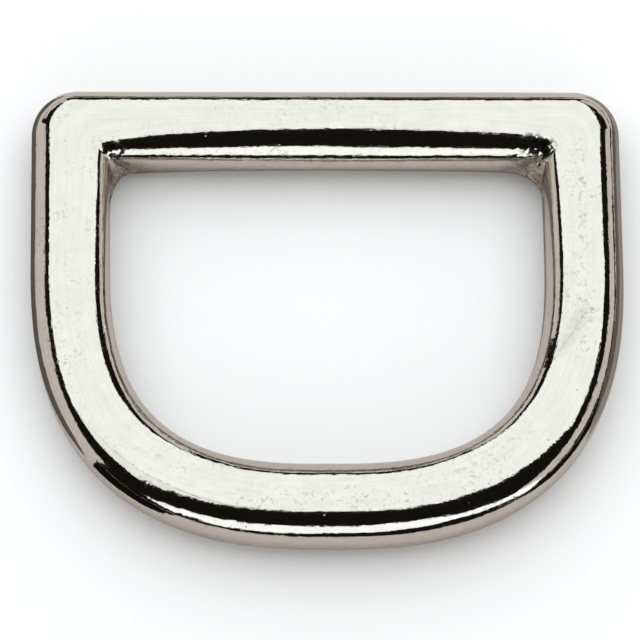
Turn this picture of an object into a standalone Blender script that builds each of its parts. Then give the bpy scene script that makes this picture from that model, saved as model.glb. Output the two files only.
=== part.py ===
"""A cast D ring: one closed bar of zinc alloy, polished and nickel plated.

The ring lies flat on its back. X runs along the straight strap bar, +Y points from
the bow towards that bar, and Z is up. The origin is under the middle of the ring's
box, on the surface that the ring lies on. Sizes are in metres.
"""

import math

import bmesh
import bpy

MM = 0.001

# The opening
OPENING_WIDTH = 25.0 * MM        # between the two sides, for a strap of one inch
SIDE_STRAIGHT = 5.3 * MM         # straight run of each side below the strap bar
BOW_DEPTH = 12.45 * MM           # from the end of that run to the middle of the bow
BOW_SQUARENESS = 2.7             # 2 is an ellipse, and more is squarer

# The stock that runs round the opening
BAR_WIDTH = 4.55 * MM            # strap bar, seen from above
SIDE_WIDTH = 4.5 * MM
CROWN_WIDTH = 4.85 * MM          # middle of the bow
THICKNESS = 4.0 * MM
WALL_LAND = 0.4 * MM             # flat strip along the inner and outer walls

# How far each rounded edge reaches in over the face, with a narrow flat left between them
OUTER_EDGE = 2.1 * MM
INNER_EDGE = 1.75 * MM           # on the sides and the bow
BAR_EDGE = 2.1 * MM              # in the middle of the strap bar, where it is worn most
CORNER_EDGE = 1.1 * MM           # at the two inner corners, which polishing hardly reaches
EDGE_FADE = 1.6                  # how soon the inner edge opens out from those corners

# The two corners beside the strap bar
OUTER_CORNER_RADIUS = 2.65 * MM  # at the outer wall
VALLEY_RADIUS = 0.3 * MM         # where the upper face turns down into the opening
WEB_RADIUS = 2.1 * MM            # at the inner wall and below, where a web fills the corner
WEB_TOP = 1.0 * MM               # the web begins this far above the middle plane
WEB_FULL = -0.4 * MM             # and is full from this far below it

# How finely the round stretches are faceted
EDGE_STEPS = 6                   # each rounded edge of the section
BAR_STEPS = 6                    # half of the strap bar
CORNER_STEPS = 8
SIDE_STEPS = 3
BOW_STEPS = 57                   # odd, so that one facet lies across the middle of the bow
SHARP_ANGLE = math.radians(35)   # edges sharper than this are shaded as creases

# Lines that the sizes above give, with Y measured from the end of the straight sides
SIDE_LINE = (OPENING_WIDTH + SIDE_WIDTH) / 2
BAR_LINE = SIDE_STRAIGHT + BAR_WIDTH / 2
CROWN_LINE = BOW_DEPTH + CROWN_WIDTH / 2
TOP = SIDE_STRAIGHT + BAR_WIDTH
BOTTOM = -(BOW_DEPTH + CROWN_WIDTH)
MIDDLE = (TOP + BOTTOM) / 2


def section():
    """Give the points round the section of the stock, as (side, reach, height).

    side is 1 on the outer half and -1 on the half beside the opening. reach is 0 at
    the edge of the flat face and 1 at the wall. height is from the middle plane.
    """
    edge_height = (THICKNESS - WALL_LAND) / 2
    points = []
    for side, level in ((1, 1), (1, -1), (-1, -1), (-1, 1)):
        for step in range(EDGE_STEPS + 1):
            turn = math.pi / 2 * step / EDGE_STEPS
            if side != level:
                turn = math.pi / 2 - turn
            height = level * (WALL_LAND / 2 + edge_height * math.cos(turn))
            points.append((side, math.sin(turn), height))
    return points


def offset(side, reach, width, open_edge, along):
    """Give a section point's distance from the middle of stock of this width.

    along is 0 at an inner corner and 1 where the inner edge is fully open.
    """
    edge = OUTER_EDGE
    if side < 0:
        edge = open_edge - (open_edge - CORNER_EDGE) * (1 - along) ** EDGE_FADE
    return side * (width / 2 - edge * (1 - reach))


def corner_radius(side, reach, height):
    """Give the radius of the corner on this line of the section."""
    web = min(max((WEB_TOP - height) / (WEB_TOP - WEB_FULL), 0), 1)
    inner = VALLEY_RADIUS + (WEB_RADIUS - VALLEY_RADIUS) * web
    if side < 0:
        return inner
    share = offset(side, reach, SIDE_WIDTH, INNER_EDGE, 0) / (SIDE_WIDTH / 2)
    middle = (OUTER_CORNER_RADIUS + inner) / 2
    return middle + (OUTER_CORNER_RADIUS - middle) * share


def bar_and_side(side, reach, height):
    """Give a line's points from the middle of the bar round the right corner to the bow."""
    radius = corner_radius(side, reach, height)
    centre_x = SIDE_LINE + offset(side, reach, SIDE_WIDTH, INNER_EDGE, 0) - radius
    centre_y = BAR_LINE + offset(side, reach, BAR_WIDTH, BAR_EDGE, 0) - radius
    points = []
    for step in range(BAR_STEPS):
        along = 1 - step / BAR_STEPS
        y = BAR_LINE + offset(side, reach, BAR_WIDTH, BAR_EDGE, along)
        points.append((centre_x * (1 - along), y))
    for step in range(CORNER_STEPS + 1):
        turn = math.pi / 2 * (1 - step / CORNER_STEPS)
        points.append((centre_x + radius * math.cos(turn), centre_y + radius * math.sin(turn)))
    for step in range(1, SIDE_STEPS):
        along = step / SIDE_STEPS
        x = SIDE_LINE + offset(side, reach, SIDE_WIDTH, INNER_EDGE, along)
        points.append((x, centre_y * (1 - along)))
    return points


def bow_line(side, reach):
    """Give a line's points round the bow, from the right side to the left one."""
    points = []
    for step in range(BOW_STEPS + 1):
        turn = math.pi * step / BOW_STEPS
        across = abs(math.cos(turn)) / SIDE_LINE
        down = math.sin(turn) / CROWN_LINE
        distance = (across ** BOW_SQUARENESS + down ** BOW_SQUARENESS) ** (-1 / BOW_SQUARENESS)
        x = distance * math.cos(turn)
        y = -distance * math.sin(turn)
        slope_x = math.copysign((abs(x) / SIDE_LINE) ** (BOW_SQUARENESS - 1) / SIDE_LINE, x)
        slope_y = -((abs(y) / CROWN_LINE) ** (BOW_SQUARENESS - 1)) / CROWN_LINE
        length = math.hypot(slope_x, slope_y)
        width = SIDE_WIDTH + (CROWN_WIDTH - SIDE_WIDTH) * math.sin(turn) ** 2
        away = offset(side, reach, width, INNER_EDGE, 1) / length
        points.append((x + slope_x * away, y + slope_y * away))
    return points


def ring_line(side, reach, height):
    """Give one line right round the ring, starting at the middle of the strap bar."""
    right = bar_and_side(side, reach, height)
    left = [(-x, y) for x, y in reversed(right[1:])]
    return right + bow_line(side, reach) + left


def ring_mesh():
    """Loft the section round the ring as one closed skin."""
    shape = bmesh.new()
    lines = []
    for side, reach, height in section():
        line = []
        for x, y in ring_line(side, reach, height):
            line.append(shape.verts.new((x, y - MIDDLE, height + THICKNESS / 2)))
        lines.append(line)
    for index, line in enumerate(lines):
        below = lines[(index + 1) % len(lines)]
        for start in range(len(line)):
            end = (start + 1) % len(line)
            shape.faces.new((line[start], line[end], below[end], below[start]))
    bmesh.ops.recalc_face_normals(shape, faces=shape.faces)
    mesh = bpy.data.meshes.new("d_ring")
    shape.to_mesh(mesh)
    shape.free()
    mesh.shade_smooth()
    mesh.set_sharp_from_angle(angle=SHARP_ANGLE)
    return mesh


def nickel_plate():
    """Give the polished nickel plating."""
    material = bpy.data.materials.new("nickel_plate")
    material.use_nodes = True
    shader = material.node_tree.nodes["Principled BSDF"]
    shader.inputs["Base Color"].default_value = (0.66, 0.61, 0.53, 1.0)
    shader.inputs["Metallic"].default_value = 1.0
    shader.inputs["Roughness"].default_value = 0.08
    return material


def main():
    for old in list(bpy.data.objects):
        bpy.data.objects.remove(old, do_unlink=True)
    ring = bpy.data.objects.new("d_ring", ring_mesh())
    ring.data.materials.append(nickel_plate())
    bpy.context.scene.collection.objects.link(ring)


main()
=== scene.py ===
"""The looks of a cast D ring, polished and nickel plated, lying on a pale table.

The ring's skin is one piece. A Geometry Nodes tree lofts its rounded section along
the strap bar, round the two corners, down the sides and round the bow. It then adds
the slight waves of hand polishing and the rough metal in the inner corners.
"""

import math

import bpy
from mathutils import Matrix, Vector


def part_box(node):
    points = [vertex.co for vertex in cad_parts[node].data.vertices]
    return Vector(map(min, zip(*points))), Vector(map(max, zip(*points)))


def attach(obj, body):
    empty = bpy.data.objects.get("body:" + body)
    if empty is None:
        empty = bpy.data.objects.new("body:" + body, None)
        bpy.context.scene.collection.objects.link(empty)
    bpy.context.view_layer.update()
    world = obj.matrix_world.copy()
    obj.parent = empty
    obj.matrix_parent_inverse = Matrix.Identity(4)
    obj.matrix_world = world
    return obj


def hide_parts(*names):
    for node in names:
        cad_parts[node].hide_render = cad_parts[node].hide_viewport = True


MM = 0.001

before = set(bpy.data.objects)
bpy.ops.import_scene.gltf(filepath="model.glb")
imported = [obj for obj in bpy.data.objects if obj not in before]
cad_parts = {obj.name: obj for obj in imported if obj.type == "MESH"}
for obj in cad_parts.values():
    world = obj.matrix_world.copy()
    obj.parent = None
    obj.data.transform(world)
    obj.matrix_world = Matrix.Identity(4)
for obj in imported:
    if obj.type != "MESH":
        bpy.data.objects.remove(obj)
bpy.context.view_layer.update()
LOW, HIGH = (Vector(corner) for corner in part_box("d_ring"))

# How finely the skin is meshed: half of the bar, a corner, a side, half of the bow
BAR_STEPS = 124
CORNER_STEPS = 56
SIDE_STEPS = 50
BOW_STEPS = 208
HALF_WAY = BAR_STEPS + CORNER_STEPS + SIDE_STEPS + BOW_STEPS
# and a quarter of the section: half of the flat face, the rounded edge, half of the wall
FACE_STEPS = 2
EDGE_STEPS = 21
WALL_STEPS = 5
QUARTER = FACE_STEPS + EDGE_STEPS + WALL_STEPS
BAR_CROWDING = 1.6               # above 1, the steps are closer together beside the corner
SIDE_CROWDING = 1.4
WELD = 0.0001 * MM

# Sizes that the box of the solid doesn't give
OPENING_WIDTH = 25.0 * MM
SIDE_STRAIGHT = 5.3 * MM
BOW_DEPTH = 12.45 * MM
BAR_WIDTH = 4.55 * MM
SIDE_END = HIGH.y - BAR_WIDTH - SIDE_STRAIGHT    # Y where the straight sides meet the bow

# The named inputs of the skin's node tree
RING = {
    # The outline and the section
    "Opening Width": OPENING_WIDTH,
    "Side Straight": SIDE_STRAIGHT,
    "Bow Depth": BOW_DEPTH,
    "Bow Squareness": 2.7,
    "Bar Width": BAR_WIDTH,
    "Side Width": (HIGH.x - LOW.x - OPENING_WIDTH) / 2,
    "Crown Width": HIGH.y - LOW.y - BAR_WIDTH - SIDE_STRAIGHT - BOW_DEPTH,
    "Thickness": HIGH.z - LOW.z,
    "Wall Land": 0.4 * MM,
    # How far each rounded edge reaches in over the face
    "Outer Edge": 2.1 * MM,
    "Inner Edge": 1.75 * MM,
    "Bar Edge": 2.3 * MM,
    "Right Bar Edge": 2.42 * MM,
    "Left Side Edge": 1.6 * MM,
    "Left Bow Edge": 2.1 * MM,
    "Left Corner Edge": 1.0 * MM,
    "Right Corner Edge": 1.05 * MM,
    "Left Corner Bar Edge": 1.35 * MM,
    "Right Corner Bar Edge": 1.85 * MM,
    # How that reach, the depth and the roundness change along the ring
    "Left Fade": 4.0,
    "Right Fade": 4.6,
    "Side Fade": 1.6,
    "Worn Bar": 0.18,
    "Worn Bow": 0.22,
    "Left Corner Depth": 1.25 * MM,
    "Right Corner Depth": 1.6 * MM,
    # The corners, with the web that fills each inner one low down
    "Outer Corner Radius": 2.65 * MM,
    "Left Valley": 0.3 * MM,
    "Right Valley": 0.6 * MM,
    "Left Web Across": 1.3 * MM,
    "Left Web Down": 2.4 * MM,
    "Right Web Across": 2.2 * MM,
    "Right Web Down": 1.6 * MM,
    "Web Top": 1.0 * MM,
    "Web Full": -0.4 * MM,
    # The waves of polishing, and the rough metal on the bar by the opening's two corners.
    # Its middle lies in from the opening's side and up from its straight edge, at a share
    # of the thickness, and it fades out at its reach.
    "Wave Height": 0.014 * MM,
    "Lump Height": 0.085 * MM,
    "Left Rough In": 0.25 * MM,
    "Right Rough In": 0.9 * MM,
    "Rough Up": 0.5 * MM,
    "Rough Level": 0.9,
    "Left Rough Reach": 1.1 * MM,
    "Right Rough Reach": 1.75 * MM,
}

# Where wear starts or ends, as a start and a length. The bow's run goes from 0 at a side
# to 1 in its middle, and the bar's from 0 in its middle to 1 at a corner.
LEFT_SIDE_END = (0.0, 0.5)
LEFT_BOW_START = (0.0, 0.45)
LEFT_BOW_END = (0.5, 0.4)
CROWN_START = (0.55, 0.35)
RIGHT_BAR_START = (0.05, 0.4)
BAR_WEAR_FADE = 1.2              # how soon the bar's wear fades from its middle

# The waves of polishing: how many to the metre, how high beside the first, and the seed
WAVES = ((150.0, 1.0, 3.1), (500.0, 0.2, 8.4), (1700.0, 0.3, 2.6))
LUMPS_PER_METRE = 1700.0
LUMP_SEED = 5.7

# The plating's colours
BRIGHT_NICKEL = (0.680, 0.630, 0.548, 1.0)
CLOUDED_NICKEL = (0.580, 0.540, 0.465, 1.0)
MARK_GREY = (0.30, 0.27, 0.235, 1.0)
# Brown for residue and for painted shade, low in the inner corners and low on the walls
RESIDUE_SHADE_BROWN = (0.20, 0.155, 0.115, 1.0)
DIRT_BLACK = (0.02, 0.017, 0.014, 1.0)

# Heights over the table, in millimetres, that the marks of the face and the dirt lie above
FACE_FROM = 3.0
DIRT_FROM = 2.6

# How much each layer of the finish counts: in the haze, in the specks, where those crowd,
# in the grey of the marks, in the brown, partly painted shade, in the roughness, and in the
# relief, in millimetres. Residue and its painted shade, and dirt, are made this much stronger before
# the cut at 1.
RESIDUE_SHADE_STRENGTH = 1.6
DIRT_STRENGTH = 2.2
HAZE = {"clouds": 0.55, "lines": 0.45}
SPECKS = {"grains": 1.0, "dots": 0.5}
CROWDING = {"patches": 0.75, "column": 0.8, "crown": 0.9}
GREYING = {"specks": 0.75, "pits": 0.6, "smudge": 0.42, "scratch": 0.45}
BROWNING = {"residue_and_shade": 0.85, "dull_and_low_shade": 0.3}
CLEAN_ROUGHNESS = 0.05
ROUGHNESS = {"haze": 0.035, "marks": 0.22, "residue_and_shade": 0.25, "dull_and_low_shade": 0.12, "dirt": 0.2}
RELIEF = {
    "fine": 0.009,
    "grit": 0.0018,
    "lines": 0.0015,
    "face pits": -0.006,
    "residue_and_shade": -0.008,
    "scratch": -0.003,
}

# The setting: the table and the shade cards on it, in millimetres, and their matt surface
TABLE_REACH = 700.0
CARD_LIFT = 0.02
MATT_ROUGHNESS = 0.8
TABLE_SEEN = (0.84, 0.81, 0.785, 1.0)
# Painted shade: the table is darker in the metal's reflections than it is seen, for the ring's
# contact shadow on it
TABLE_REFLECTED_SHADE = (0.60, 0.55, 0.53, 1.0)
# Painted shade for the cards, seen only in reflections: brown and dark beside the ring for its
# contact shadow, black in front and dark further off
SHADE_CARD_BLACK = (0.006, 0.005, 0.004, 1.0)
SHADE_CARD_DARK = (0.11, 0.095, 0.075, 1.0)
SHADE_CARD_BROWN = (0.30, 0.27, 0.24, 1.0)

# The lights. A light's tilt is from straight up, its way round is 0 on +X and 90 on +Y,
# and its width and depth are shares of its distance.
COOL = (0.91, 1.0, 1.07)
WARM = (1.0, 1.0, 0.975)
CEILING_HEIGHT = 0.35
CEILING_BRIGHTNESS = 1.45
FRONT_BRIGHTNESS = 1.57
SIDE_BRIGHTNESS = 0.74
LIGHT_DISTANCE = 0.5
FRONT_LIGHTS = {
    "front_strip": {"tilt": 64.0, "around": -91.0, "turn": 18.0, "width": 0.80, "depth": 0.40},
    "front_strip_left": {"tilt": 73.7, "around": -119.0, "turn": 50.0, "width": 0.28, "depth": 0.22},
    "front_strip_right": {"tilt": 71.0, "around": -54.0, "turn": 49.0, "width": 0.20, "depth": 0.75},
}
SIDE_LIGHTS = {
    "left_side": {"tilt": 82.0, "around": 180.0, "turn": -6.0, "width": 1.20, "depth": 0.45},
    "left_back_side": {"tilt": 83.5, "around": 124.0, "turn": 0.0, "width": 0.64, "depth": 0.16},
    "right_side": {"tilt": 74.5, "around": -10.0, "turn": 0.0, "width": 1.38, "depth": 0.35},
    "right_back_side": {"tilt": 81.0, "around": 48.0, "turn": 0.0, "width": 0.86, "depth": 0.21},
}

# The room, dark in reflections but for a bright corner of the ceiling. That corner is
# above a level, and on the side of each plane that the plane's normal points to.
ROOM_DARK = (0.008, 0.0065, 0.0055, 1.0)
ROOM_BRIGHT = (1.20, 1.32, 1.38, 1.0)
ROOM_PALE = (0.50, 0.50, 0.50, 1.0)
BEHIND_FRONT = (-0.54, 0.84, 0.139)
BEHIND_LEFT = (0.44, 0.5, 0.608)
BEFORE_CEILING = (0.0, -1.0, -0.15)
CORNER_LEVEL = 0.2

# The camera, at the angle of the photo
CAMERA_TILT = 17.5
CAMERA_AROUND = -97.2
CAMERA_TARGET = Vector((-0.463, -0.119, 2.0)) * MM
CAMERA_DISTANCE = 0.25
SENSOR_WIDTH = 36.0
LENS = 246.0


def feed(tree, place, value):
    """Link a term or a socket to a node's input, or set that input to a plain value."""
    if isinstance(value, Term):
        value = value.socket
    if isinstance(value, bpy.types.NodeSocket):
        tree.links.new(value, place)
    else:
        place.default_value = value


class Term:
    """A number in a node tree, which plain arithmetic builds on."""

    def __init__(self, tree, socket):
        self.tree = tree
        self.socket = socket

    def make(self, operation, *values):
        """Add a math node that works on these terms and numbers."""
        node = self.tree.nodes.new("ShaderNodeMath")
        node.operation = operation
        for place, value in zip(node.inputs, values):
            feed(self.tree, place, value)
        return Term(self.tree, node.outputs[0])

    def __add__(self, other):
        return self.make("ADD", self, other)

    def __radd__(self, other):
        return self.make("ADD", other, self)

    def __sub__(self, other):
        return self.make("SUBTRACT", self, other)

    def __rsub__(self, other):
        return self.make("SUBTRACT", other, self)

    def __mul__(self, other):
        return self.make("MULTIPLY", self, other)

    def __rmul__(self, other):
        return self.make("MULTIPLY", other, self)

    def __truediv__(self, other):
        return self.make("DIVIDE", self, other)

    def __rtruediv__(self, other):
        return self.make("DIVIDE", other, self)

    def __pow__(self, other):
        return self.make("POWER", self, other)

    def __abs__(self):
        return self.make("ABSOLUTE", self)

    def sine(self):
        return self.make("SINE", self)

    def cosine(self):
        return self.make("COSINE", self)

    def floor(self):
        return self.make("FLOOR", self)

    def positive(self):
        """Keep this from falling below 0."""
        return self.make("MAXIMUM", self, 0.0)

    def kept(self):
        """Keep this between 0 and 1."""
        return self.make("MINIMUM", self.positive(), 1.0)

    def above(self, other):
        """Give 1 where this is more than the other, and 0 elsewhere."""
        return self.make("GREATER_THAN", self, other)

    def share(self, start, steps):
        """Run from 0 to 1 over that many steps from the start, and stay there."""
        return ((self - start) / steps).kept()

    def blend(self, low, high):
        """Give low where this is 0 and high where it is 1."""
        return (high - low) * self + low

    def eased(self):
        """Make a share from 0 to 1 start and end gently."""
        return self * self * (3.0 - 2.0 * self)


def length(*parts):
    """Give the length of a vector from its parts."""
    return sum(part * part for part in parts) ** 0.5


def weighed(layers, weights):
    """Add up the layers that the weights name, each times its weight."""
    return sum(layers[name] * weight for name, weight in weights.items())


def parts_of(tree, vector):
    """Give the x, y and z of a vector."""
    apart = tree.nodes.new("ShaderNodeSeparateXYZ")
    tree.links.new(vector, apart.inputs[0])
    return [Term(tree, socket) for socket in apart.outputs]


def scaled(tree, vector, amount):
    """Give a vector times an amount."""
    node = tree.nodes.new("ShaderNodeVectorMath")
    node.operation = "SCALE"
    tree.links.new(vector, node.inputs[0])
    feed(tree, node.inputs["Scale"], amount)
    return node.outputs[0]


def colour_mix(tree, share, first, second):
    """Give the first colour where the share is 0 and the second where it is 1."""
    node = tree.nodes.new("ShaderNodeMix")
    node.data_type = "RGBA"
    feed(tree, node.inputs["Factor"], share)
    # The node's colour sockets share their names with others, so they go by number
    feed(tree, node.inputs[6], first)
    feed(tree, node.inputs[7], second)
    return node.outputs[2]


class Loft:
    """The node tree that lofts the skin, a rounded section carried round the ring."""

    def __init__(self):
        self.tree = bpy.data.node_groups.new("d_ring_skin", "GeometryNodeTree")
        panel = self.tree.interface
        self.sockets = {}
        for name in RING:
            socket = panel.new_socket(name=name, in_out="INPUT", socket_type="NodeSocketFloat")
            self.sockets[name] = socket.identifier
        panel.new_socket(name="Skin", in_out="OUTPUT", socket_type="NodeSocketGeometry")
        given = self.tree.nodes.new("NodeGroupInput")
        self.size = {name: Term(self.tree, given.outputs[name]) for name in RING}
        index = Term(self.tree, self.tree.nodes.new("GeometryNodeInputIndex").outputs[0])
        row = 4.0 * QUARTER + 1.0
        station = ((index + 0.5) / row).floor()
        self.walk_round(station)
        self.turn_round(index - station * row)
        self.place_wear()
        self.shape_height()
        self.shape_edges()

    def walk_round(self, station):
        """Say how far along each stretch of the ring a station lies.

        The stations run from the middle of the bar, down the right and back up the left.
        """
        walked = HALF_WAY - abs(station - HALF_WAY)
        self.left = station.above(HALF_WAY + 0.5)
        self.bar_share = walked.share(0.0, BAR_STEPS)
        self.along_bar = 1.0 - (1.0 - self.bar_share) ** BAR_CROWDING
        self.along_corner = walked.share(BAR_STEPS, CORNER_STEPS)
        self.along_side = walked.share(BAR_STEPS + CORNER_STEPS, SIDE_STEPS) ** SIDE_CROWDING
        self.along_bow = walked.share(HALF_WAY - BOW_STEPS, BOW_STEPS)
        self.on_bow = walked.above(HALF_WAY - BOW_STEPS + 0.5)

    def turn_round(self, point):
        """Say how far along each stretch of the section a point lies.

        The points run round from the middle of the face, outwards first.
        """
        turned = 2.0 * QUARTER - abs(point - 2.0 * QUARTER)
        self.inner = point.above(2.0 * QUARTER + 0.5)
        self.side = 1.0 - 2.0 * self.inner
        self.upper = 1.0 - 2.0 * turned.above(QUARTER + 0.5)
        self.from_face = QUARTER - abs(turned - QUARTER)
        self.flat = self.from_face.share(0.0, FACE_STEPS)
        self.roll = self.from_face.share(FACE_STEPS, EDGE_STEPS) * (math.pi / 2)
        self.wall = self.from_face.share(FACE_STEPS + EDGE_STEPS, WALL_STEPS)

    def sided(self, name):
        """Give the left size of this name on the left half, and the right one on the right."""
        return self.left.blend(self.size["Right " + name], self.size["Left " + name])

    def place_wear(self):
        """Say where straps and polishing have worn the rounded edge beside the opening."""
        self.to_corner = self.along_bar ** self.sided("Fade")
        self.side_worn = (1.0 - self.along_side) ** self.size["Side Fade"]
        self.left_side = self.left * (1.0 - self.along_bow.share(*LEFT_SIDE_END).eased())
        bow_start = self.along_bow.share(*LEFT_BOW_START).eased()
        bow_end = self.along_bow.share(*LEFT_BOW_END).eased()
        self.left_bow = self.left * bow_start * (1.0 - bow_end)
        self.right_bar = self.bar_share.share(*RIGHT_BAR_START) * (1.0 - self.left)

    def shape_height(self):
        """Work out each point's height over the middle plane, and its share of the edge."""
        size = self.size
        worn_bar = (1.0 - self.along_bar) ** BAR_WEAR_FADE * size["Worn Bar"]
        worn_bow = self.along_bow.share(*CROWN_START).eased() * size["Worn Bow"]
        roundness = self.inner * (worn_bar + worn_bow) + 1.0
        self.reach = self.roll.sine() ** roundness
        fall = self.roll.cosine().positive() ** roundness
        full_depth = (size["Thickness"] - size["Wall Land"]) / 2.0
        side_depth = self.left_side.blend(full_depth, size["Left Corner Depth"])
        side_depth = self.side_worn.blend(side_depth, self.sided("Corner Depth"))
        inner_depth = self.to_corner.blend(full_depth, side_depth)
        depth = self.inner.blend(full_depth, inner_depth)
        half_land = size["Thickness"] / 2.0 - depth
        self.height = self.upper * (fall * depth + half_land * (1.0 - self.wall))

    def shape_edges(self):
        """Work out the rounded edge beside the opening, which is narrow at the corners."""
        size = self.size
        self.inner_edge = self.left_side.blend(size["Inner Edge"], size["Left Side Edge"])
        self.inner_edge = self.left_bow.blend(self.inner_edge, size["Left Bow Edge"])
        self.corner_edge = self.sided("Corner Edge")
        self.bar_corner_edge = self.sided("Corner Bar Edge")
        worn_edge = self.right_bar.blend(size["Bar Edge"], size["Right Bar Edge"])
        self.bar_edge = self.to_corner.blend(worn_edge, self.bar_corner_edge)
        self.side_edge = self.side_worn.blend(self.inner_edge, self.corner_edge)

    def spread(self, width, inner_edge):
        """Give a point's distance from the middle of the flat, on stock of this width."""
        edge = self.inner.blend(self.size["Outer Edge"], inner_edge)
        return (width / 2.0 - edge) * self.flat + edge * self.reach

    def offset(self, width, inner_edge):
        """Give its distance from the middle of the stock, outwards."""
        flat_middle = (inner_edge - self.size["Outer Edge"]) / 2.0
        return self.side * self.spread(width, inner_edge) + (1.0 - self.flat) * flat_middle

    def corner_radius(self, web_radius):
        """Give the corner's radius at each point, with a web of this radius low inside it."""
        size = self.size
        web = ((size["Web Top"] - self.height) / (size["Web Top"] - size["Web Full"])).kept()
        inner_radius = web.blend(self.sided("Valley"), web_radius)
        middle = (inner_radius + size["Outer Corner Radius"]) / 2.0
        out = self.spread(size["Side Width"], self.corner_edge) / (size["Side Width"] / 2.0)
        outer_radius = (out * out).blend(middle, size["Outer Corner Radius"])
        return self.inner.blend(outer_radius, self.flat.blend(middle, inner_radius))

    def straight_part(self):
        """Give the x and y of half of the bar, a corner and a side, each going on from the last."""
        size = self.size
        side_line = (size["Opening Width"] + size["Side Width"]) / 2.0
        bar_line = size["Side Straight"] + size["Bar Width"] / 2.0
        from_side = self.offset(size["Side Width"], self.corner_edge)
        from_bar = self.offset(size["Bar Width"], self.bar_corner_edge)
        side_shift = self.offset(size["Side Width"], self.side_edge) - from_side
        bar_shift = self.offset(size["Bar Width"], self.bar_edge) - from_bar
        across = self.corner_radius(self.sided("Web Across"))
        down = self.corner_radius(self.sided("Web Down"))
        turn = self.along_corner * (math.pi / 2)
        x = (side_line + from_side - across) * self.along_bar + across * turn.sine()
        y = bar_line + from_bar - down + down * turn.cosine()
        return x + side_shift, (y + bar_shift) * (1.0 - self.along_side)

    def bow_part(self):
        """Give the x and y of half of the bow, with the section square to a squarish ellipse."""
        size = self.size
        side_line = (size["Opening Width"] + size["Side Width"]) / 2.0
        crown_line = size["Bow Depth"] + size["Crown Width"] / 2.0
        power = size["Bow Squareness"]
        swing = self.along_bow * (math.pi / 2)
        level = swing.cosine().positive()
        steep = swing.sine()
        distance = ((level / side_line) ** power + (steep / crown_line) ** power) ** (-1.0 / power)
        x = distance * level
        y = distance * steep
        slope_x = (x / side_line) ** (power - 1.0) / side_line
        slope_y = (y / crown_line) ** (power - 1.0) / crown_line
        width = (steep ** 2.0).blend(size["Side Width"], size["Crown Width"])
        away = self.offset(width, self.inner_edge) / length(slope_x, slope_y)
        return x + slope_x * away, 0.0 - y - slope_y * away

    def lofted(self):
        """Bring a grid's points to their places on the ring."""
        grid = self.tree.nodes.new("GeometryNodeMeshGrid")
        grid.inputs["Vertices X"].default_value = 2 * HALF_WAY + 1
        grid.inputs["Vertices Y"].default_value = 4 * QUARTER + 1
        straight_x, straight_y = self.straight_part()
        bow_x, bow_y = self.bow_part()
        x = self.on_bow.blend(straight_x, bow_x) * (1.0 - 2.0 * self.left)
        y = self.on_bow.blend(straight_y, bow_y) + SIDE_END
        z = self.height + self.size["Thickness"] / 2.0
        place = self.tree.nodes.new("ShaderNodeCombineXYZ")
        for socket, part in zip(place.inputs, (x, y, z)):
            feed(self.tree, socket, part)
        moved = self.tree.nodes.new("GeometryNodeSetPosition")
        self.tree.links.new(grid.outputs["Mesh"], moved.inputs["Geometry"])
        self.tree.links.new(place.outputs[0], moved.inputs["Position"])
        return moved.outputs[0]

    def closed(self, skin):
        """Keep each point's share of the way across the section, and weld the grid's edges."""
        kept = self.tree.nodes.new("GeometryNodeStoreNamedAttribute")
        kept.data_type = "FLOAT"
        kept.domain = "POINT"
        kept.inputs["Name"].default_value = "across"
        feed(self.tree, kept.inputs["Value"], self.side * self.from_face / QUARTER)
        welded = self.tree.nodes.new("GeometryNodeMergeByDistance")
        welded.inputs["Distance"].default_value = WELD
        self.tree.links.new(skin, kept.inputs["Geometry"])
        self.tree.links.new(kept.outputs[0], welded.inputs["Geometry"])
        return welded.outputs[0]

    def near_corner(self, x, y, z):
        """Give 1 in the rough metal by each corner of the opening, and 0 beyond its reach."""
        size = self.size
        right = x.above(0.0)
        inwards = right.blend(size["Left Rough In"], size["Right Rough In"])
        reach = right.blend(size["Left Rough Reach"], size["Right Rough Reach"])
        apart_x = abs(x) - size["Opening Width"] / 2.0 + inwards
        apart_y = y - size["Side Straight"] - SIDE_END - size["Rough Up"]
        apart_z = z - size["Thickness"] * size["Rough Level"]
        return (1.0 - length(apart_x, apart_y, apart_z) / reach).kept().eased()

    def noise(self, per_metre, seed):
        """Give noise from -1 to 1 that follows the place on the ring."""
        node = self.tree.nodes.new("ShaderNodeTexNoise")
        node.noise_dimensions = "4D"
        node.inputs["W"].default_value = seed
        node.inputs["Scale"].default_value = per_metre
        node.inputs["Detail"].default_value = 1.0
        return Term(self.tree, node.outputs["Fac"]) * 2.0 - 1.0

    def worked(self, skin):
        """Add the waves that polishing leaves, and the rough metal of the inner corners."""
        where = self.tree.nodes.new("GeometryNodeInputPosition")
        near = self.near_corner(*parts_of(self.tree, where.outputs[0]))
        waves = sum(self.noise(per_metre, seed) * high for per_metre, high, seed in WAVES)
        lumps = self.noise(LUMPS_PER_METRE, LUMP_SEED)
        rise = waves * self.size["Wave Height"] + lumps * near * self.size["Lump Height"]
        normal = self.tree.nodes.new("GeometryNodeInputNormal")
        moved = self.tree.nodes.new("GeometryNodeSetPosition")
        self.tree.links.new(skin, moved.inputs["Geometry"])
        self.tree.links.new(scaled(self.tree, normal.outputs[0], rise), moved.inputs["Offset"])
        return moved.outputs[0]

    def finish(self, skin, plating):
        """Shade the skin smooth, make it real and give it its plating."""
        smooth = self.tree.nodes.new("GeometryNodeSetShadeSmooth")
        real = self.tree.nodes.new("GeometryNodeRealizeInstances")
        coat = self.tree.nodes.new("GeometryNodeSetMaterial")
        coat.inputs["Material"].default_value = plating
        end = self.tree.nodes.new("NodeGroupOutput")
        self.tree.links.new(skin, smooth.inputs[0])
        self.tree.links.new(smooth.outputs[0], real.inputs[0])
        self.tree.links.new(real.outputs[0], coat.inputs[0])
        self.tree.links.new(coat.outputs[0], end.inputs[0])


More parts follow.
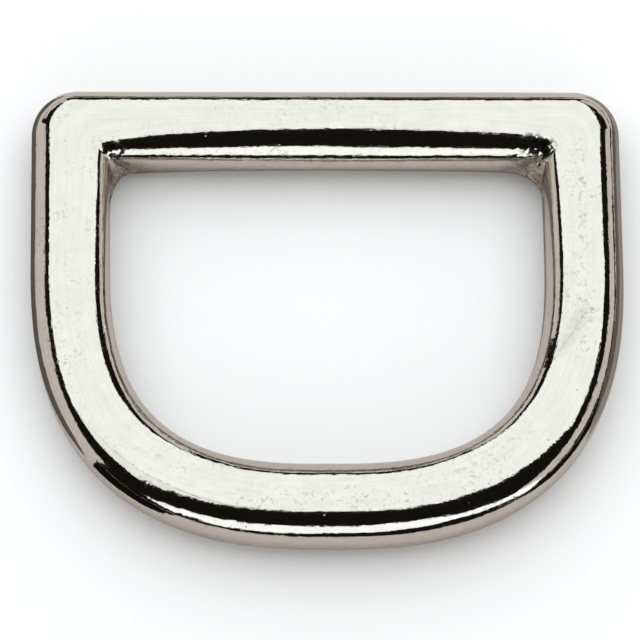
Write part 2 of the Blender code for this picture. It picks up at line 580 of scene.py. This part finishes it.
def ring_skin(plating):
    """Make the ring's skin as one plain closed mesh."""
    loft = Loft()
    loft.finish(loft.worked(loft.closed(loft.lofted())), plating)
    maker = bpy.data.objects.new("skin_maker", bpy.data.meshes.new("skin_start"))
    bpy.context.scene.collection.objects.link(maker)
    modifier = maker.modifiers.new("Skin", "NODES")
    modifier.node_group = loft.tree
    for name, value in RING.items():
        modifier[loft.sockets[name]] = value
    graph = bpy.context.evaluated_depsgraph_get()
    mesh = bpy.data.meshes.new_from_object(maker.evaluated_get(graph))
    maker.modifiers.clear()
    bpy.data.objects.remove(maker, do_unlink=True)
    mesh.name = "ring_skin"
    skin = bpy.data.objects.new("ring_skin", mesh)
    bpy.context.scene.collection.objects.link(skin)
    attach(skin, "root")
    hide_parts("d_ring")
    return skin


class Finish:
    """A finish's node tree, with the place on the ring in millimetres."""

    def __init__(self, name):
        self.material = bpy.data.materials.new(name)
        self.material.use_nodes = True
        self.tree = self.material.node_tree
        self.shader = self.tree.nodes["Principled BSDF"]
        place = self.tree.nodes.new("ShaderNodeTexCoord")
        self.place = scaled(self.tree, place.outputs["Object"], 1.0 / MM)
        self.x, self.y, self.z = parts_of(self.tree, self.place)
        held = self.tree.nodes.new("ShaderNodeAttribute")
        held.attribute_name = "across"
        self.across = Term(self.tree, held.outputs["Fac"])

    def cloud(self, size, detail, seed, across=0.0):
        """Give noise from 0 to 1 with patches of this size, drawn out along the ring by across."""
        node = self.tree.nodes.new("ShaderNodeTexNoise")
        node.noise_dimensions = "4D"
        node.inputs["Scale"].default_value = 1.0
        node.inputs["Detail"].default_value = detail
        feed(self.tree, node.inputs["Vector"], scaled(self.tree, self.place, 1.0 / size))
        feed(self.tree, node.inputs["W"], self.across * across + seed)
        return Term(self.tree, node.outputs["Fac"])

    def patches(self, gain, cut, **cloud):
        """Give a cloud with more contrast, cut away where it is thin."""
        return (self.cloud(**cloud) * gain - cut).kept()

    def spots(self, spacing, radius, chance, seed):
        """Give 1 in the inner half of scattered round spots, fading to 0 at their rim."""
        moved = self.tree.nodes.new("ShaderNodeVectorMath")
        moved.operation = "ADD"
        moved.inputs[1].default_value = (seed, seed * 2.0, 0.0)
        self.tree.links.new(self.place, moved.inputs[0])
        cells = self.tree.nodes.new("ShaderNodeTexVoronoi")
        cells.voronoi_dimensions = "2D"
        cells.inputs["Scale"].default_value = 1.0 / spacing
        self.tree.links.new(moved.outputs[0], cells.inputs["Vector"])
        chosen = self.tree.nodes.new("ShaderNodeSeparateColor")
        self.tree.links.new(cells.outputs["Color"], chosen.inputs[0])
        lucky = Term(self.tree, chosen.outputs[0])
        far = Term(self.tree, cells.outputs["Distance"]) * spacing / radius
        return (2.0 - far * 2.0).kept() * (chance - lucky).above(0.0)

    def near(self, place, reach):
        """Give 1 at a place on the face, and 0 beyond its reach."""
        return (1.0 - length(self.x - place[0], self.y - place[1]) / reach).kept()

    def line(self, start, end, reach):
        """Give 1 on a straight line between two places on the face, and 0 beyond its reach."""
        run_x = end[0] - start[0]
        run_y = end[1] - start[1]
        from_x = self.x - start[0]
        from_y = self.y - start[1]
        along = ((from_x * run_x + from_y * run_y) / (run_x ** 2 + run_y ** 2)).kept()
        far = length(from_x - along * run_x, from_y - along * run_y)
        return (1.0 - far / reach).kept()

    def below(self, height, depth):
        """Give 0 above this height, and 1 from this much further down."""
        return ((height - self.z) / depth).kept()

    def mixed(self, share, first, second):
        """Give the first colour where the share is 0 and the second where it is 1."""
        return colour_mix(self.tree, share, first, second)


def polishing(finish):
    """Give soft clouds, and polishing lines that follow the stock round."""
    clouds = finish.patches(size=0.9, detail=3.0, seed=4.0, gain=2.4, cut=0.9)
    lines = finish.patches(size=2.6, detail=2.0, seed=7.0, across=26.0, gain=3.0, cut=1.1)
    haze = weighed({"clouds": clouds, "lines": lines}, HAZE)
    fine = finish.cloud(size=0.45, detail=2.0, seed=6.0)
    grit = finish.cloud(size=0.15, detail=1.0, seed=12.0)
    return {"haze": haze, "lines": lines, "fine": fine, "grit": grit}


def face_specks(finish):
    """Give fine specks, crowded in patches, down the right side and along the bow."""
    crowds = {
        "patches": finish.patches(size=2.2, detail=2.0, seed=1.5, gain=5.0, cut=2.4),
        "column": finish.line(start=(14.5, 9.0), end=(14.5, -2.5), reach=0.8),
        "crown": finish.line(start=(-5.0, -11.15), end=(4.0, -11.15), reach=0.9),
    }
    kinds = {
        "grains": finish.patches(size=0.24, detail=2.0, seed=2.0, gain=6.0, cut=3.25),
        "dots": finish.spots(spacing=1.1, radius=0.07, chance=0.35, seed=7.0),
    }
    return weighed(kinds, SPECKS).kept() * weighed(crowds, CROWDING).kept()


def face_marks(finish):
    """Give the specks, clear pits, rubbed smudge and hairline scratch of the face."""
    on_face = finish.z.above(FACE_FROM)
    rubbed = finish.patches(size=0.45, detail=3.0, seed=9.0, gain=2.6, cut=0.5)
    smudge = finish.line(start=(14.6, -0.2), end=(13.0, -2.5), reach=0.6) * rubbed
    scratch = finish.line(start=(14.57, -0.3), end=(13.67, -1.66), reach=0.035)
    scratch = scratch + finish.line(start=(13.67, -1.66), end=(12.69, -3.08), reach=0.03)
    pits = finish.spots(spacing=2.1, radius=0.06, chance=0.3, seed=5.0)
    kinds = {"specks": face_specks(finish), "pits": pits, "smudge": smudge, "scratch": scratch}
    marks = weighed(kinds, GREYING).kept() * on_face
    return {"marks": marks, "face pits": pits * on_face, "scratch": scratch}


def left_behind(finish):
    """Give the residue, dirt and dull metal that polishing never reached, with painted shade
    browning the inner corners and the foot of the walls.
    """
    # Brown residue low in the inner corners, and painted shade there
    corners = finish.near((-12.3, 8.85), reach=2.4) + finish.near((12.3, 8.85), reach=2.4)
    stains = finish.patches(size=0.2, detail=3.0, seed=3.0, gain=3.0, cut=0.8)
    low = finish.below(height=3.3, depth=0.9)
    residue_and_shade = (corners * RESIDUE_SHADE_STRENGTH).kept() * low * stains

    # Black dirt in the pits of the casting, where the bar's rounded edge meets the sides
    right_pits = finish.patches(size=0.3, detail=1.0, seed=11.0, gain=12.0, cut=5.2)
    right_pits = right_pits * finish.line(start=(11.7, 9.95), end=(12.55, 9.75), reach=0.75)
    left_pits = finish.patches(size=0.25, detail=1.0, seed=13.0, gain=12.0, cut=5.8)
    left_pits = left_pits * finish.line(start=(-12.4, 9.6), end=(-12.0, 9.5), reach=0.55)
    dirt = ((right_pits + left_pits) * DIRT_STRENGTH).kept() * finish.z.above(DIRT_FROM)

    # Duller metal low on the walls, in streaks that follow the stock round; its brown is painted
    # shade near the table
    streaks = finish.patches(size=0.5, detail=3.0, seed=15.0, across=9.0, gain=2.8, cut=1.0)
    dull_and_low_shade = finish.below(height=3.1, depth=1.2) * streaks
    return {"residue_and_shade": residue_and_shade, "dirt": dirt, "dull_and_low_shade": dull_and_low_shade}


def polished_nickel():
    """Give the nickel plating: clouded polish, marks, brown residue and painted shade low down, and
    black dirt.
    """
    finish = Finish("polished_nickel")
    layers = polishing(finish) | face_marks(finish) | left_behind(finish)
    nickel = finish.mixed(layers["haze"], BRIGHT_NICKEL, CLOUDED_NICKEL)
    marked = finish.mixed(layers["marks"], nickel, MARK_GREY)
    # Browner low in the inner corners and low on the walls: residue, dull metal and painted shade
    browned = finish.mixed(weighed(layers, BROWNING).kept(), marked, RESIDUE_SHADE_BROWN)
    colour = finish.mixed(layers["dirt"], browned, DIRT_BLACK)
    bump = finish.tree.nodes.new("ShaderNodeBump")
    bump.inputs["Strength"].default_value = 1.0
    bump.inputs["Distance"].default_value = MM
    feed(finish.tree, bump.inputs["Height"], weighed(layers, RELIEF))
    shader = finish.shader
    shader.inputs["Metallic"].default_value = 1.0
    feed(finish.tree, shader.inputs["Base Color"], colour)
    feed(finish.tree, shader.inputs["Roughness"], weighed(layers, ROUGHNESS) + CLEAN_ROUGHNESS)
    feed(finish.tree, shader.inputs["Normal"], bump.outputs[0])
    return finish.material


def matt(name, seen, reflected, gloss=0.1):
    """Give a matt surface with one colour to look at and one in the metal's reflections, where a
    darker one paints shade.
    """
    material = bpy.data.materials.new(name)
    material.use_nodes = True
    tree = material.node_tree
    shader = tree.nodes["Principled BSDF"]
    ray = tree.nodes.new("ShaderNodeLightPath")
    colour = colour_mix(tree, ray.outputs["Is Glossy Ray"], seen, reflected)
    tree.links.new(colour, shader.inputs["Base Color"])
    shader.inputs["Roughness"].default_value = MATT_ROUGHNESS
    shader.inputs["Specular IOR Level"].default_value = gloss
    return material


def sheet(name, corners, height, material):
    """Lay a flat sheet of the setting, its corners given in millimetres."""
    mesh = bpy.data.meshes.new(name)
    mesh.from_pydata([(x * MM, y * MM, height * MM) for x, y in corners], [], [range(len(corners))])
    mesh.materials.append(material)
    laid = bpy.data.objects.new(name, mesh)
    bpy.context.scene.collection.objects.link(laid)
    return laid


def box_corners(left, right, near, far):
    """Give the corners of a sheet that lies square to the ring."""
    return [(left, near), (right, near), (right, far), (left, far)]


def table():
    """Lay the pale table, and cards that only the polished metal sees, which paint shade on the
    table in its reflections.
    """
    pale = matt("pale_table", TABLE_SEEN, TABLE_REFLECTED_SHADE)
    whole = box_corners(-TABLE_REACH, TABLE_REACH, -TABLE_REACH, TABLE_REACH)
    sheet("table", whole, 0.0, pale)
    black = matt("black_shade_card", SHADE_CARD_BLACK, SHADE_CARD_BLACK, gloss=0.0)
    dark = matt("dark_shade_card", SHADE_CARD_DARK, SHADE_CARD_DARK)
    brown = matt("brown_shade_card", SHADE_CARD_BROWN, SHADE_CARD_BROWN)
    front_right = [(20.0, -16.0), (110.0, -240.0), (300.0, -8.0), (22.0, -8.0)]
    front_left = [(-16.5, -10.5), (-260.0, -150.0), (-105.0, -215.0), (-12.5, -16.0)]
    cards = {
        "left_shade_card": (box_corners(-23.5, -17.0, -10.0, 22.0), dark),
        "right_shade_card": (box_corners(24.0, 300.0, -8.0, 22.0), dark),
        "right_edge_shade_card": (box_corners(17.0, 24.0, -8.0, 22.0), brown),
        "back_shade_card": (box_corners(-20.0, 22.0, 40.0, 300.0), dark),
        "inner_left_shade_card": (box_corners(-12.5, -11.2, -2.0, 8.0), brown),
        "inner_right_shade_card": (box_corners(11.3, 12.5, -2.0, 8.0), brown),
        "inner_back_shade_card": (box_corners(-11.0, 11.0, 8.4, 9.02), brown),
        "front_right_shade_card": (front_right, black),
        "front_left_shade_card": (front_left, black),
    }
    for name, (corners, material) in cards.items():
        # Each card is hidden from the camera, from diffuse light and from shadows, so it only paints
        # shade into reflections
        card = sheet(name, corners, CARD_LIFT, material)
        card.visible_camera = False
        card.visible_diffuse = False
        card.visible_shadow = False


def aim(tilt, around):
    """Give the direction at a tilt from straight up, around being 0 on +X and 90 on +Y."""
    tilt = math.radians(tilt)
    around = math.radians(around)
    level = math.sin(tilt)
    return Vector((level * math.cos(around), level * math.sin(around), math.cos(tilt)))


def area_light(name, width, depth, brightness, tint):
    """Make a flat light of one brightness all over, which the camera doesn't see."""
    lamp = bpy.data.lights.new(name, "AREA")
    lamp.shape = "RECTANGLE"
    lamp.size = width
    lamp.size_y = depth
    lamp.energy = brightness * math.pi * lamp.size * lamp.size_y
    lamp.color = tint
    light = bpy.data.objects.new(name, lamp)
    light.visible_camera = False
    bpy.context.scene.collection.objects.link(light)
    return light


def soft_light(name, place, brightness, tint):
    """Hang a soft light that faces the ring, its width level before the turn."""
    width = place["width"] * LIGHT_DISTANCE
    depth = place["depth"] * LIGHT_DISTANCE
    light = area_light(name, width, depth, brightness, tint)
    facing = aim(place["tilt"], place["around"])
    level = Vector((0.0, 0.0, 1.0)).cross(facing).normalized()
    up = facing.cross(level)
    turn = Matrix.Rotation(math.radians(place["turn"]), 3, "Z")
    turned = Matrix((level, up, facing)).transposed() @ turn
    light.matrix_world = Matrix.Translation(facing * LIGHT_DISTANCE) @ turned.to_4x4()


def ceiling_light(left, right, front, back):
    """Hang a flat light over the ring, its edges given as shares of its height."""
    width = (right - left) * CEILING_HEIGHT
    depth = (back - front) * CEILING_HEIGHT
    light = area_light("ceiling", width, depth, CEILING_BRIGHTNESS, COOL)
    middle = Vector(((left + right) / 2.0, (front + back) / 2.0, 1.0))
    light.location = middle * CEILING_HEIGHT


def studio():
    """Light the ring from a long ceiling light, strips in front and dim panels at the sides."""
    ceiling_light(left=-1.32, right=1.08, front=-0.165, back=5.5)
    for name, place in FRONT_LIGHTS.items():
        soft_light(name, place, FRONT_BRIGHTNESS, COOL)
    for name, place in SIDE_LIGHTS.items():
        soft_light(name, place, SIDE_BRIGHTNESS, WARM)


def surroundings():
    """Keep the room dark for reflections, but for one corner of the ceiling, and pale elsewhere."""
    world = bpy.data.worlds.new("room")
    world.use_nodes = True
    tree = world.node_tree
    way = tree.nodes.new("ShaderNodeTexCoord")
    x, y, z = parts_of(tree, way.outputs["Generated"])
    corner = z.above(CORNER_LEVEL)
    for across, ahead, up in (BEHIND_FRONT, BEHIND_LEFT, BEFORE_CEILING):
        corner = corner * (x * across + y * ahead + z * up).above(0.0)
    dark = tree.nodes["Background"]
    feed(tree, dark.inputs["Color"], colour_mix(tree, corner, ROOM_DARK, ROOM_BRIGHT))
    pale = tree.nodes.new("ShaderNodeBackground")
    pale.inputs["Color"].default_value = ROOM_PALE
    ray = tree.nodes.new("ShaderNodeLightPath")
    mix = tree.nodes.new("ShaderNodeMixShader")
    tree.links.new(ray.outputs["Is Glossy Ray"], mix.inputs[0])
    tree.links.new(pale.outputs[0], mix.inputs[1])
    tree.links.new(dark.outputs[0], mix.inputs[2])
    tree.links.new(mix.outputs[0], tree.nodes["World Output"].inputs["Surface"])
    bpy.context.scene.world = world


def photo_camera():
    """Look down on the ring from a little in front and to the left, through a long lens."""
    away = aim(CAMERA_TILT, CAMERA_AROUND)
    right = (Vector((1.0, 0.0, 0.0)) - away * away.x).normalized()
    up = away.cross(right)
    data = bpy.data.cameras.new("photo_camera")
    data.sensor_width = SENSOR_WIDTH
    data.lens = LENS
    data.clip_start = 0.01
    camera = bpy.data.objects.new("photo_camera", data)
    turned = Matrix((right, up, away)).transposed().to_4x4()
    camera.matrix_world = Matrix.Translation(CAMERA_TARGET + away * CAMERA_DISTANCE) @ turned
    bpy.context.scene.collection.objects.link(camera)
    bpy.context.scene.camera = camera


def main():
    bpy.context.scene.view_settings.view_transform = "Standard"
    ring_skin(polished_nickel())
    table()
    studio()
    surroundings()
    photo_camera()


main()
